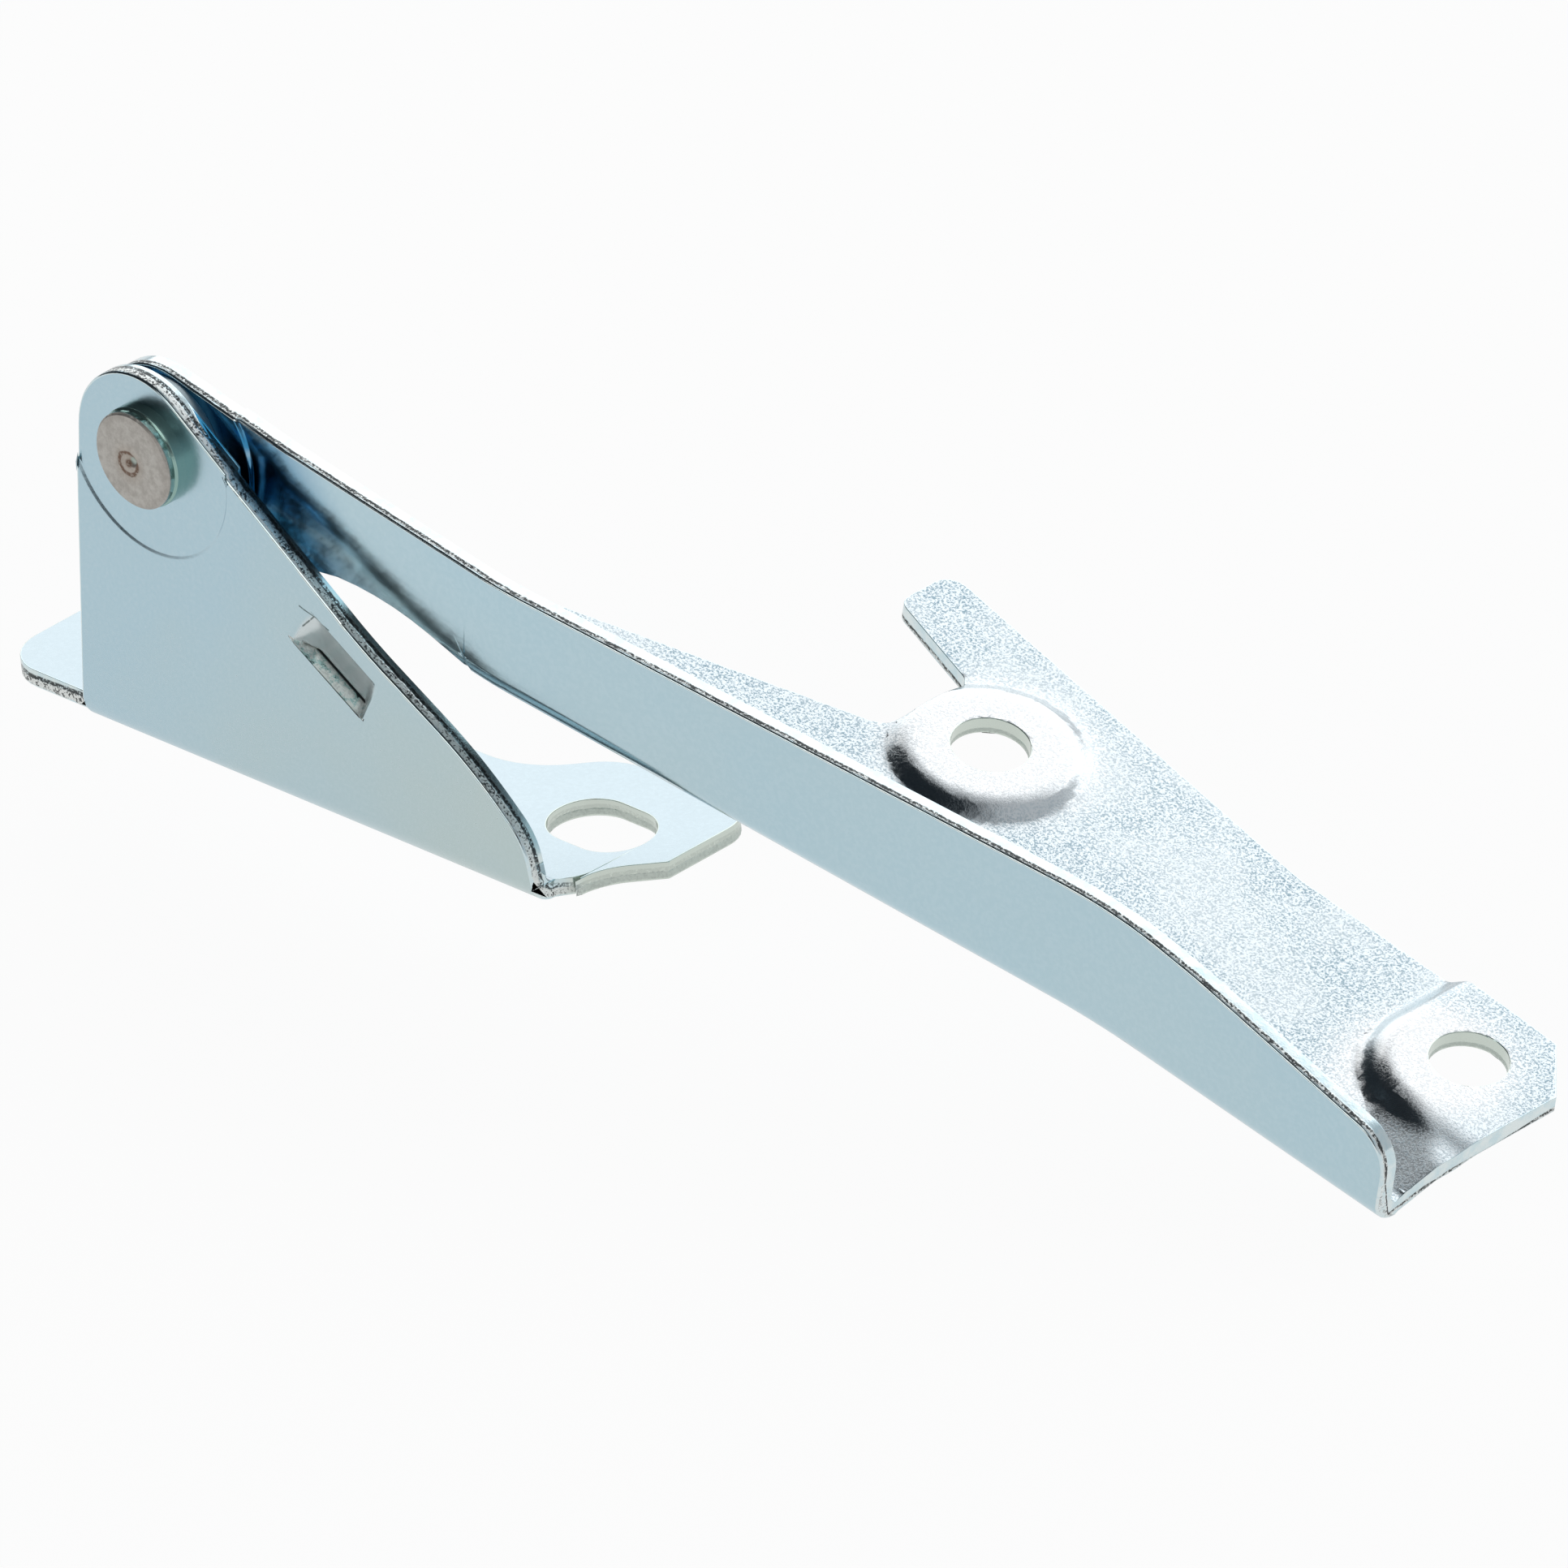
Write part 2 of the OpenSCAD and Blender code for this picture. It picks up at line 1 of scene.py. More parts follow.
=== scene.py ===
# %% [markdown]
# # A car bonnet hinge in blue-bright zinc plate
#
# The hinge is three pieces of steel: a bracket that is bolted to the body, a long arm that
# carries the bonnet, and the rivet that holds the two together over a thin washer. All of
# them are stamped from sheet or turned, then plated. What the eye reads as "real" on such a
# part is not its outline but its edges: a punch rolls the first corner over, then tears the
# rest of the thickness. So most of this lesson is about edges and about soft plated steel.

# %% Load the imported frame
import json
import math

import bmesh
import bpy
from mathutils import Matrix, Vector
from mathutils.bvhtree import BVHTree

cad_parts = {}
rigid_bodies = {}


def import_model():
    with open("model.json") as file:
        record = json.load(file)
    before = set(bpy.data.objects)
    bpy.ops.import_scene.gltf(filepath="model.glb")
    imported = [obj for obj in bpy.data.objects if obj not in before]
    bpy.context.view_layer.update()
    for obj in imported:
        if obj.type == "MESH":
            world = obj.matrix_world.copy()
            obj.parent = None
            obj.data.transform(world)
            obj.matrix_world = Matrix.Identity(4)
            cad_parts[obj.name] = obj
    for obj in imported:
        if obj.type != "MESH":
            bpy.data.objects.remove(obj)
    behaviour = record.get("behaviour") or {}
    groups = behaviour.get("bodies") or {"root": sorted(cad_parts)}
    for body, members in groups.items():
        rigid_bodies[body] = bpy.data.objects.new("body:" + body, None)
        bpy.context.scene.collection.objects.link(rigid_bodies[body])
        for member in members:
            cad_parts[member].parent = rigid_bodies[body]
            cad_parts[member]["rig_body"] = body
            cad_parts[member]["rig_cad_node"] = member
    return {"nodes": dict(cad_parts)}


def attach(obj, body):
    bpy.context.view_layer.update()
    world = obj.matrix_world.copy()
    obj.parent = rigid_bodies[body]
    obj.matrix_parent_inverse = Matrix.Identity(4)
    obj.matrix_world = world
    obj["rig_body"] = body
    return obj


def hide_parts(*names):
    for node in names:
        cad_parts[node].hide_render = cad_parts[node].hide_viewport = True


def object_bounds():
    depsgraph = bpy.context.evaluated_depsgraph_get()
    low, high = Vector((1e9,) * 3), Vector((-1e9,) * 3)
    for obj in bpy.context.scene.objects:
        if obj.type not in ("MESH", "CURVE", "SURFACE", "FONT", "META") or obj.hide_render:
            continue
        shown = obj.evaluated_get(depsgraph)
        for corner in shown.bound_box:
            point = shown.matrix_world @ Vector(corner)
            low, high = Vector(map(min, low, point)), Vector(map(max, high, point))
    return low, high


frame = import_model()
cad_low, cad_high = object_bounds()
MM = 0.001
print("pieces:", sorted(frame["nodes"]))

# %% [markdown]
# ## Places on the hinge
#
# The arm hangs a little below level, so a pattern on it is easier to place in the arm's own
# directions: along the arm, across it, and up from its flange. PIVOT is where the axis of the
# pivot meets the arm's web, and the two bonnet holes are given from there, in the arm's
# directions. The stop has its own directions too: along its sheared line, into the web, and up
# across the tongue.

# %% Sheet, pivot, holes and tilt of the arm
SHEET = 2.5 * MM
WEB_FACE = -17.0 * MM
PIVOT = Vector((22.0, -12.3, 43.3)) * MM
ARM_TILT = math.radians(16.8)
INNER_HOLE = Vector((101.3, 42.9, -2.7)) * MM
OUTER_HOLE = Vector((179.5, 48.5, -2.7)) * MM
ARM_TO_FRAME = Matrix.Translation(PIVOT) @ Matrix.Rotation(ARM_TILT, 4, "Y")
FRAME_TO_ARM = ARM_TO_FRAME.inverted()
ARM_UP = tuple(ARM_TO_FRAME.to_3x3() @ Vector((0, 0, 1)))
along_arm = ARM_TO_FRAME.to_3x3() @ Vector((1, 0, 0))
print("arm axis in the frame:", tuple(round(v, 3) for v in along_arm))

# %% The stop of the bracket
STOP_HALF, STOP_WIDTH, STOP_GAP, STOP_DEPTH = 7.35 * MM, 6.8 * MM, 0.15 * MM, 2.2 * MM
STOP_MIDDLE = Vector((50.9, -17.0, 21.3)) * MM
STOP_LEAN = math.radians(33)
STOP = Matrix.Translation(STOP_MIDDLE) @ Matrix.Rotation(STOP_LEAN, 4, "Y")
LINE_SLOPE, LINE_LEVEL = 0.649, 54.35 * MM


def over_stop_line(x, z):
    """Height of a place on the web over the sheared line; x and z may be wires."""
    return z + x * LINE_SLOPE - LINE_LEVEL


def stop_place(point):
    return STOP.inverted() @ point


def in_hollow(place):
    within = abs(place.x) < STOP_HALF + 0.01 * MM and -0.2 * MM < place.z < STOP_WIDTH
    return within and 0.01 * MM < place.y < 3.2 * MM


print("stop leans", round(math.degrees(STOP_LEAN)), "degrees")

# %% [markdown]
# ## Writing shaders as arithmetic
#
# A procedural finish is a sum of masks, and a sum is easier to read as a sum than as forty
# linked nodes. `Wire` wraps one socket, so `1 - mask * 0.5` adds its Math nodes by itself.
# `Finish` holds one material; any other node comes from its `node` method.

# %% Wire: one socket that can be reckoned with
class Wire:
    def __init__(self, finish, socket):
        self.finish = finish
        self.socket = socket

    def reckon(self, operation, *values, clamp=False):
        node = self.finish.tree.nodes.new("ShaderNodeMath")
        node.operation = operation
        node.use_clamp = clamp
        for inlet, value in zip(node.inputs, values):
            self.finish.feed(inlet, value)
        return Wire(self.finish, node.outputs[0])

    def __add__(self, other):
        return self.reckon("ADD", self, other)

    def __radd__(self, other):
        return self.reckon("ADD", other, self)

    def __sub__(self, other):
        return self.reckon("SUBTRACT", self, other)

    def __rsub__(self, other):
        return self.reckon("SUBTRACT", other, self)

    def __mul__(self, other):
        return self.reckon("MULTIPLY", self, other)

    def __rmul__(self, other):
        return self.reckon("MULTIPLY", other, self)

    def __truediv__(self, other):
        return self.reckon("DIVIDE", self, other)

    def __pow__(self, other):
        return self.reckon("POWER", self, other)

    def root(self):
        return self.reckon("SQRT", self)

    def size(self):
        return self.reckon("ABSOLUTE", self)

    def clamped(self):
        return self.reckon("ADD", self, 0.0, clamp=True)

    def rise(self, start, end):
        """0 up to start, 1 from end on, smooth between; start may be the larger one."""
        inlets = {"Value": self, "From Min": start, "From Max": end}
        return self.finish.node("MapRange", {"interpolation_type": "SMOOTHSTEP"}, inlets)

    def band(self, middle, half, soft):
        """1 within half of the middle, fading to 0 over soft."""
        return (self - middle).size().rise(half + soft, half)


# %% Finish: one material under construction
MIX_SHARE, MIX_FIRST, MIX_SECOND, MIX_RESULT = 0, 6, 7, 2  # the colour sockets of a Mix node


class Finish:
    def __init__(self, name):
        self.material = bpy.data.materials.new(name)
        self.material.use_nodes = True
        self.tree = self.material.node_tree
        self.shader = self.tree.nodes["Principled BSDF"]

    def feed(self, inlet, value):
        if isinstance(value, Wire):
            self.tree.links.new(value.socket, inlet)
        elif hasattr(value, "__len__") and len(value) == 3 and len(inlet.default_value) == 4:
            inlet.default_value = (*value, 1.0)
        else:
            inlet.default_value = value

    def node(self, kind, settings=None, inlets=None, outlet=0):
        made = self.tree.nodes.new("ShaderNode" + kind)
        for key, value in (settings or {}).items():
            setattr(made, key, value)
        for key, value in (inlets or {}).items():
            self.feed(made.inputs[key], value)
        return Wire(self, made.outputs[outlet])

    def blend(self, share, first, second):
        """Mixes two colours; the share may be a wire."""
        inlets = {MIX_SHARE: share, MIX_FIRST: first, MIX_SECOND: second}
        return self.node("Mix", {"data_type": "RGBA"}, inlets, MIX_RESULT)

    def noise(self, size, detail=2.0, where=None, stretch=None, roughness=0.5):
        """Cloudy pattern whose lumps are about size metres wide."""
        where = where or self.place()
        if stretch:
            where = self.node("VectorMath", {"operation": "MULTIPLY"}, {0: where, 1: stretch})
        inlets = {"Vector": where, "Scale": 1.0 / size, "Detail": detail, "Roughness": roughness}
        return self.node("TexNoise", None, inlets)

    def place(self):
        return self.node("TexCoord", outlet="Object")

    def facing(self):
        return self.node("TexCoord", outlet="Normal")

    def arm_place(self):
        """Position in the arm's own directions, from the pivot."""
        moved = self.node("VectorMath", {"operation": "SUBTRACT"}, {0: self.place(), 1: PIVOT})
        inlets = {"Vector": moved, "Rotation": (0.0, -ARM_TILT, 0.0)}
        return self.node("VectorRotate", {"rotation_type": "EULER_XYZ"}, inlets)

    def parts(self, vector):
        made = self.tree.nodes.new("ShaderNodeSeparateXYZ")
        self.feed(made.inputs[0], vector)
        return [Wire(self, made.outputs[i]) for i in range(3)]

    def beside(self, x, z, start, end):
        """Distance from a straight mark on the web, whose ends and width are in millimetres."""
        run = Vector(end) - Vector(start)
        right, up = x / MM - start[0], z / MM - start[1]
        share = ((right * run.x + up * run.y) / run.length_squared).clamped()
        return ((right - share * run.x) ** 2 + (up - share * run.y) ** 2).root()

    def bump(self, height, strength, depth, under=None):
        inlets = {"Height": height, "Strength": strength, "Distance": depth}
        if under:
            inlets["Normal"] = under
        return self.node("Bump", None, inlets)

    def set(self, **values):
        for key, value in values.items():
            self.feed(self.shader.inputs[key.replace("_", " ")], value)


print("shader helpers ready")

# %% [markdown]
# ## The plated skin
#
# Blue-bright zinc is a metal with a thin bluish film. The film is thicker in some places, so
# the tint drifts between sky blue and a pale straw colour over a few centimetres. Close up the
# surface has the grain of the rolled sheet below it: small spangles that shine a little
# differently, and faint waves along the rolling direction. Two fine dark marks cross the web
# above the stop.

# %% Plated skin of the bracket
CRACKS = [((47.5, 30.3), (52.4, 28.5), 0.16), ((49.7, 29.4), (47.4, 27.3), 0.14)]
BLUE_FILM, STRAW_FILM = (0.455, 0.615, 0.690), (0.550, 0.640, 0.610)
# The first colour on the next line is painted shade: a greyer, darker copy of the film for faces
# that look up.
UP_FACING_SHADE_FILM, SPANGLE = (0.47, 0.545, 0.575), (0.66, 0.76, 0.80)
MARK_DARK = (0.03, 0.06, 0.05)
# The first colour on the next line is a painted highlight: the near white of the stop's tongue.
# The second colour on the next line is a painted highlight: the near white of the rolled lip under
# the stop's cut.
TONGUE_PAINTED_HIGHLIGHT, LIP_PAINTED_HIGHLIGHT = (0.90, 0.97, 0.97), (0.95, 0.95, 0.93)


def bracket_skin():
    skin = Finish("bracket zinc skin")
    x, y, z = skin.parts(skin.place())
    cloud = skin.noise(26 * MM, 3.0)
    grain = skin.noise(0.55 * MM, 3.0, roughness=0.6)
    fine = skin.noise(0.16 * MM, 2.0)
    rolled = skin.noise(3.2 * MM, 4.0, stretch=(0.35, 1.0, 1.9))
    crack = 0.0
    for start, end, width in CRACKS:
        crack = crack + skin.beside(x, z, start, end).rise(width, width * 0.4)
    crack = crack.clamped() * grain.rise(0.30, 0.45)
    straw = (x * 14.0 - z * 9.0 + cloud * 1.1 - 0.72).clamped()
    tint = skin.blend(straw * 0.75, BLUE_FILM, STRAW_FILM)
    # Painted shade: faces that look up are given the greyer, darker copy of the film.
    level = skin.parts(skin.facing())[2].rise(0.60, 0.90)
    tint = skin.blend(level, tint, UP_FACING_SHADE_FILM)
    tint = skin.blend(grain.rise(0.35, 0.75) * 0.16, tint, SPANGLE)
    over_line = over_stop_line(x, z)
    # Painted highlight: the stop's tongue is painted near white and made less metallic, so that it
    # reads lit inside its hollow.
    tongue = y.rise(-16.9 * MM, -16.6 * MM) * y.rise(-14.0 * MM, -14.45 * MM)
    tongue = tongue * x.rise(40 * MM, 43 * MM) * z.rise(12 * MM, 14 * MM)
    tongue = tongue * over_line.rise(0.0, 0.2 * MM)
    # Painted highlight: a thin band just under the stop's cut, where the rolled lip catches the
    # light, is painted near white.
    lip = x.rise(42.5 * MM, 44.5 * MM) * x.rise(59.5 * MM, 57.5 * MM)
    lip = lip * y.rise(-16.99 * MM, -16.90 * MM) * over_line.band(-0.8 * MM, 0.6 * MM, 0.2 * MM)
    tint = skin.blend(tongue * 0.9, tint, TONGUE_PAINTED_HIGHLIGHT)
    tint = skin.blend(lip, tint, LIP_PAINTED_HIGHLIGHT)
    skin.set(Base_Color=skin.blend(crack * 0.8, tint, MARK_DARK), Metallic=1.0 - tongue * 0.5)
    skin.set(Roughness=0.17 + cloud * 0.08 + grain * 0.08)
    sheet = skin.bump(rolled, 0.20, 0.10 * MM)
    skin.set(Normal=skin.bump(grain + fine * 0.5, 0.16, 0.05 * MM, sheet))
    return skin.material


BRACKET_SKIN = bracket_skin()
print("made", BRACKET_SKIN.name)

# %% Plated skin of the arm
WEB_BLUE, WEB_STRAW, WEB_SPANGLE = (0.470, 0.640, 0.715), (0.56, 0.67, 0.68), (0.74, 0.84, 0.88)
# Painted shade: the deep blue of the arm's face just behind the bracket, where it mirrors the
# bracket's dark back.
GAP_SHADE_BLUE = (0.015, 0.21, 0.42)
# The first colour on the next line is a painted highlight: near white flange round the pads.
# The second colour on the next line is painted light: a lighter copy of the zinc for the flange,
# which faces up.
FLANGE_PAINTED_HIGHLIGHT, FLANGE_PAINTED_LIGHT = (0.76, 0.77, 0.77), (0.66, 0.705, 0.72)
FLANGE_SPECK = (0.26, 0.37, 0.43)
# Middle of the painted highlight on the outer pad's slope, in the arm's directions.
PAINTED_HIGHLIGHT_SLOPE = Vector((176.0, 44.0)) * MM


def arm_skin():
    skin = Finish("arm zinc skin")
    where = skin.arm_place()
    x, y, z = skin.parts(where)
    cloud = skin.noise(30 * MM, 3.0)
    grain = skin.noise(0.75 * MM, 4.0, roughness=0.65)
    fine = skin.noise(0.18 * MM, 2.0)
    rolled = skin.noise(3.6 * MM, 4.0, where=where, stretch=(0.30, 1.0, 2.0))
    speck = skin.noise(0.32 * MM, 3.0, roughness=0.7).rise(0.46, 0.60)
    patches = skin.noise(13 * MM, 3.0).rise(0.36, 0.62)
    inlets = {0: skin.facing(), 1: ARM_UP}
    turned = skin.node("VectorMath", {"operation": "DOT_PRODUCT"}, inlets, "Value")
    # Painted light: faces that turn up into the flange get a far lighter copy of the zinc than the
    # web.
    flange = turned.rise(0.55, 0.93)
    # Painted highlight: round the inner hole's pad and on the outer pad's slope the flange is
    # painted near white, free of specks.
    to_inner = ((x - INNER_HOLE.x) ** 2 + (y - INNER_HOLE.y) ** 2).root()
    to_painted_highlight = ((x - PAINTED_HIGHLIGHT_SLOPE.x) ** 2 + (y - PAINTED_HIGHLIGHT_SLOPE.y) ** 2).root()
    outside_painted_highlights = to_inner.rise(8 * MM, 17 * MM) * to_painted_highlight.rise(7 * MM, 15 * MM)
    web = skin.blend((cloud * 1.4 - 0.35).clamped() * 0.5, WEB_BLUE, WEB_STRAW)
    web = skin.blend(grain.rise(0.42, 0.62) * 0.08, web, WEB_SPANGLE)
    # Painted shade: near the pivot, behind the bracket, the web is painted deep blue, broken by
    # lighter streaks, as if it mirrored the bracket's dark back.
    streak = skin.noise(5 * MM, 3.0, where=where, stretch=(0.25, 1.0, 1.0))
    streak = streak.rise(0.50, 0.68)
    gap_shade = (x + z).rise(38 * MM, 19 * MM) * (1.0 - streak * 0.6)
    web = skin.blend(gap_shade * 0.94, web, GAP_SHADE_BLUE)
    pale = skin.blend(outside_painted_highlights, FLANGE_PAINTED_HIGHLIGHT, FLANGE_PAINTED_LIGHT)
    pale = skin.blend(speck * outside_painted_highlights * (0.36 + patches * 0.60), pale, FLANGE_SPECK)
    skin.set(Base_Color=skin.blend(flange, web, pale), Metallic=1.0)
    level = turned.rise(0.90, 0.985)
    skin.set(Roughness=0.13 + cloud * 0.06 + level * (0.08 + speck * 0.16))
    sheet = skin.bump(rolled, 0.20, 0.10 * MM)
    relief = (grain + fine * 0.4) * 0.4 + speck * flange * 0.5
    skin.set(Normal=skin.bump(relief, 0.22, 0.06 * MM, sheet))
    return skin.material


ARM_SKIN = arm_skin()
print("made", ARM_SKIN.name)

# %% [markdown]
# ## The sheared edge
#
# A punched edge has three bands. First the corner rolls over, next comes a short polished
# band, then the steel tears and leaves dark rough specks, and at last a clean thin lip. Each
# point of a sheet copy carries its depth below the outer skin as an attribute, from 0 to 1, so
# the bands follow every edge of both sheets, however it turns. Where an edge is calm, as round
# the bracket's foot and in the arm's holes, the dark marks fade away.

# %% Bands of a sheared edge
ROLLED_PALE, CALM_PALE = (0.60, 0.74, 0.78), (0.62, 0.68, 0.62)
TORN_DARK = (0.020, 0.026, 0.028)
STOP_WHITE, STOP_GREEN = (0.93, 0.95, 0.92), (0.34, 0.62, 0.60)


def in_band(wander, start, end, soft):
    """1 between two depths; soft holds how far each end reaches out and in."""
    out_low, in_low, out_high, in_high = soft
    return wander.rise(start - out_low, start + in_low) * wander.rise(end + out_high, end - in_high)


def sheared_edge(name, torn, black, lip, calm):
    """torn and black are the depths at which each band starts and ends; lip is a colour."""
    edge = Finish(name)
    calmed = 1.0 - calm(edge)
    depth = edge.node("Attribute", {"attribute_name": "depth"}, outlet="Fac")
    along = edge.noise(2.4 * MM, 4.0, roughness=0.7)
    specks = edge.noise(0.36 * MM, 3.0, roughness=0.7)
    wander = depth + (along - 0.5) * 0.20
    rough = in_band(wander, *torn, (0.05, 0.04, 0.06, 0.04))
    line = in_band(wander, *black, (0.03, 0.03, 0.05, 0.03))
    broken = (specks + along * 0.4).rise(0.56, 0.70)
    dark = (rough * (specks + along * 0.5).rise(0.76, 0.84) + line * broken).clamped()
    dark = dark * (0.12 + calmed * 0.88)
    pale = edge.blend(along.rise(0.35, 0.65) * 0.5, ROLLED_PALE, lip)
    x, y, z = edge.parts(edge.place())
    in_stop = x.rise(41 * MM, 43 * MM) * x.rise(59.5 * MM, 58.5 * MM)
    in_stop = in_stop * y.rise(-14.2 * MM, -14.5 * MM)
    in_stop = in_stop * over_stop_line(x, z).band(-0.15 * MM, 1.2 * MM, 0.5 * MM)
    dark = dark * (1.0 - in_stop * 0.8)
    rough = (rough + in_stop).clamped()
    patch = edge.noise(1.1 * MM, 4.0, roughness=0.7)
    white = edge.blend(in_stop * patch.rise(0.48, 0.58) * 0.8, STOP_WHITE, STOP_GREEN)
    # Painted shade: the deepest part of the stop's wall, where it meets the tongue, is painted dark
    # like a shaded crease.
    crease_shade = depth.rise(0.80, 0.88)
    dark = (dark + in_stop * patch.rise(0.60, 0.66) * 0.9 + in_stop * crease_shade).clamped()
    pale = edge.blend(rough * 0.9, pale, white)
    pale = edge.blend(1.0 - calmed, pale, CALM_PALE)
    tint = edge.blend(dark * 0.97, pale, TORN_DARK)
    edge.set(Base_Color=tint, Metallic=1.0 - dark * 0.5 - rough * (1.0 - dark) * 0.3)
    edge.set(Roughness=0.16 + rough * 0.20)
    edge.set(Normal=edge.bump(specks * rough + along * 0.3, 0.60, 0.14 * MM))
    return edge.material


def foot_of_bracket(edge):
    return edge.parts(edge.place())[1].rise(-14 * MM, -10 * MM)


def holes_of_arm(edge):
    x, y, z = edge.parts(edge.arm_place())
    holes = 0.0
    for hole in (INNER_HOLE, OUTER_HOLE):
        radius = ((x - hole.x) ** 2 + (y - hole.y) ** 2).root()
        holes = holes + radius.rise(7.5 * MM, 6.5 * MM)
    return holes


BRACKET_EDGE = sheared_edge(
    "bracket sheared edge", torn=(0.14, 0.48), black=(0.50, 0.72), lip=(0.80, 0.82, 0.76),
    calm=foot_of_bracket)
ARM_EDGE = sheared_edge(
    "arm sheared edge", torn=(0.14, 0.36), black=(0.20, 0.36), lip=(0.90, 0.90, 0.86),
    calm=holes_of_arm)
print("made", BRACKET_EDGE.name, "and", ARM_EDGE.name)

# %% [markdown]
# ## The rivet and the washer
#
# The rivet is turned, so its face keeps rings, and the tool that set it left a small brown
# mark near the middle. Its steel is duller and warmer than the sheets. The collar under the
# face is plated and greenish.

# %% Finish of the rivet
FACE_DULL, FACE_PALE, COLLAR = (0.47, 0.445, 0.41), (0.66, 0.64, 0.60), (0.30, 0.46, 0.42)
HALO_BROWN, RIM_BROWN, MARK_BROWN = (0.40, 0.30, 0.22), (0.36, 0.32, 0.29), (0.16, 0.085, 0.05)


def rivet_finish():
    steel = Finish("rivet steel")
    x, y, z = steel.parts(steel.place())
    across = x - (PIVOT.x - 0.7 * MM)
    up = z - (PIVOT.z - 0.5 * MM)
    radius = (across ** 2 + up ** 2).root()
    wobble = steel.noise(0.9 * MM, 3.0)
    specks = steel.noise(0.30 * MM, 3.0, roughness=0.7)
    ring = (radius + (wobble - 0.5) * 0.5 * MM).band(1.55 * MM, 0.14 * MM, 0.22 * MM)
    dot = radius.rise(0.75 * MM, 0.30 * MM)
    halo = radius.rise(3.4 * MM, 1.0 * MM)
    rim = radius.rise(5.2 * MM, 6.6 * MM)
    on_face = y.rise(-18.9 * MM, -19.2 * MM)
    mark = (ring + dot).clamped() * specks.rise(0.3, 0.5)
    tint = steel.blend((wobble + specks * 0.5).rise(0.5, 1.0) * 0.8, FACE_DULL, FACE_PALE)
    tint = steel.blend(halo * 0.35, tint, HALO_BROWN)
    tint = steel.blend(rim * 0.25, tint, RIM_BROWN)
    tint = steel.blend(mark * 0.85, tint, MARK_BROWN)
    tint = steel.blend(1.0 - on_face, tint, COLLAR)
    steel.set(Base_Color=tint, Metallic=0.9)
    steel.set(Roughness=0.50 * on_face + 0.16 * (1.0 - on_face) + wobble * 0.10)
    steel.set(Normal=steel.bump(specks * 0.8 + wobble - ring * 1.2, 0.25, 0.06 * MM))
    return steel.material


RIVET_STEEL = rivet_finish()
print("made", RIVET_STEEL.name)

# %% Finish of the washer
WASHER_DARK, WASHER_PALE = (0.30, 0.36, 0.38), (0.42, 0.48, 0.50)


def washer_finish():
    steel = Finish("washer steel")
    grain = steel.noise(0.5 * MM, 3.0)
    steel.set(Base_Color=steel.blend(grain, WASHER_DARK, WASHER_PALE), Metallic=1.0)
    steel.set(Roughness=0.30 + grain * 0.2)
    steel.set(Normal=steel.bump(grain, 0.2, 0.05 * MM))
    return steel.material


WASHER_STEEL = washer_finish()
print("made", WASHER_STEEL.name)

# %% [markdown]
# ## Copies of the solids with worked edges
#
# The solids have the right shapes but knife-sharp corners, and a real pressing has none. Each
# solid is copied, its loose triangles are merged, and flat neighbours are dissolved into
# single faces. Then the edges are bevelled in turn: the creases that a die drew, the outer
# corner that the punch rolled over, which gets the widest round, and the thin far lip.

# %% Working on one object at a time
def only(piece):
    bpy.ops.object.select_all(action="DESELECT")
    piece.select_set(True)
    bpy.context.view_layer.objects.active = piece


def copy_of(node, name):
    only(frame["nodes"][node])
    bpy.ops.object.duplicate()
    piece = bpy.context.view_layer.objects.active
    bpy.ops.object.parent_clear(type="CLEAR_KEEP_TRANSFORM")
    piece.name = piece.data.name = name
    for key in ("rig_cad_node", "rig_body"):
        del piece[key]
    piece.data.materials.clear()
    bpy.ops.object.mode_set(mode="EDIT")
    bpy.ops.mesh.select_all(action="SELECT")
    bpy.ops.mesh.remove_doubles(threshold=0.002 * MM)
    bpy.ops.mesh.dissolve_limited(angle_limit=math.radians(0.3))
    bpy.ops.object.mode_set(mode="OBJECT")
    print(name, "starts with", len(piece.data.polygons), "faces")
    return piece


# %% Picking faces and edges in code
def pick_faces(piece, test):
    bpy.ops.object.mode_set(mode="EDIT")
    bpy.ops.mesh.select_mode(type="FACE")
    bpy.ops.mesh.select_all(action="DESELECT")
    mesh = bmesh.from_edit_mesh(piece.data)
    for face in mesh.faces:
        face.select_set(bool(test(face)))
    bmesh.update_edit_mesh(piece.data)


def pick_edges(piece, test):
    bpy.ops.object.mode_set(mode="EDIT")
    bpy.ops.mesh.select_mode(type="EDGE")
    bpy.ops.mesh.select_all(action="DESELECT")
    mesh = bmesh.from_edit_mesh(piece.data)
    found = [edge for edge in mesh.edges if edge.is_manifold and test(edge)]
    for edge in found:
        edge.select_set(True)
    bmesh.update_edit_mesh(piece.data)
    return len(found)


def bevel(offset, segments, slot=-1):
    """Rounds the picked edges; the new faces take the slot, or that of their neighbours."""
    bpy.ops.mesh.bevel(
        offset=offset, segments=segments, profile=0.5, clamp_overlap=False, material=slot)


# %% The outer skin of a sheet, as a tree that answers "how deep is this point?"
def outer_skin(piece, seed, limit):
    pick_faces(piece, seed)
    bpy.ops.mesh.faces_select_linked_flat(sharpness=math.radians(limit))
    mesh = bmesh.from_edit_mesh(piece.data)
    chosen = [face for face in mesh.faces if face.select]
    points, rows = [], []
    for face in chosen:
        rows.append(range(len(points), len(points) + len(face.verts)))
        points.extend(vert.co.copy() for vert in face.verts)
    bpy.ops.object.mode_set(mode="OBJECT")
    print(piece.name, "outer skin:", len(chosen), "faces")
    return BVHTree.FromPolygons(points, [list(row) for row in rows])


def depth_of(tree, point):
    return tree.find_nearest(point)[3]


